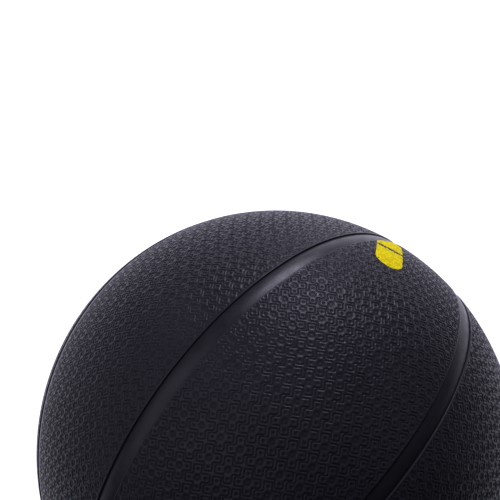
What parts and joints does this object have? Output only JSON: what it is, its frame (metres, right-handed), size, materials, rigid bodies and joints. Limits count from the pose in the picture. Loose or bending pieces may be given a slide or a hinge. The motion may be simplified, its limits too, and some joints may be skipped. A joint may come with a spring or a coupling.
{
  "type": "medicine ball",
  "caption": "Round heavy black rubber exercise ball with textured panels running pole to pole, smooth channels between them, a plain yellow printed mark and a needle valve.",
  "frame": {"origin": "centre of the ball", "axes": "+X along the pole axis, out of the valve's mouth; +Z through the middle of the cover panel that carries the printed mark; +Y completes the right-handed frame and is the middle of the cover panel two along"},
  "size_m": [0.2285, 0.23, 0.23],
  "materials": {
    "cover_rubber": "black moulded rubber with a fine raised grip pattern, dull with soft glints",
    "channel_rubber": "smooth black rubber, satin",
    "hub_rubber": "smooth black rubber, satin",
    "carcass_rubber": "plain dark rubber sheet, dull",
    "nylon_thread": "pale nylon thread wound in layers",
    "wall_rubber": "dense filled rubber, dull grey-black",
    "bladder_butyl": "smooth butyl rubber, slightly glossy",
    "valve_rubber": "smooth dark grey rubber",
    "plug_rubber": "soft natural gum rubber, tan",
    "print_ink": "thin opaque yellow ink, satin"
  },
  "bodies": {
    "root": {"cover_panel_1": "cover_rubber", "cover_panel_2": "cover_rubber", "cover_panel_3": "cover_rubber", "cover_panel_4": "cover_rubber", "cover_panel_5": "cover_rubber", "cover_panel_6": "cover_rubber", "cover_panel_7": "cover_rubber", "cover_panel_8": "cover_rubber", "channel_strip_1": "channel_rubber", "channel_strip_2": "channel_rubber", "channel_strip_3": "channel_rubber", "channel_strip_4": "channel_rubber", "channel_strip_5": "channel_rubber", "channel_strip_6": "channel_rubber", "channel_strip_7": "channel_rubber", "channel_strip_8": "channel_rubber", "valve_hub": "hub_rubber", "plain_hub": "hub_rubber", "carcass_half_1": "carcass_rubber", "carcass_half_2": "carcass_rubber", "thread_winding": "nylon_thread", "weighted_wall_half_1": "wall_rubber", "weighted_wall_half_2": "wall_rubber", "bladder": "bladder_butyl", "bladder_patch": "bladder_butyl", "valve_housing": "valve_rubber", "valve_plug": "plug_rubber", "mark_print_1": "print_ink", "mark_print_2": "print_ink"}
  },
  "joints": []
}
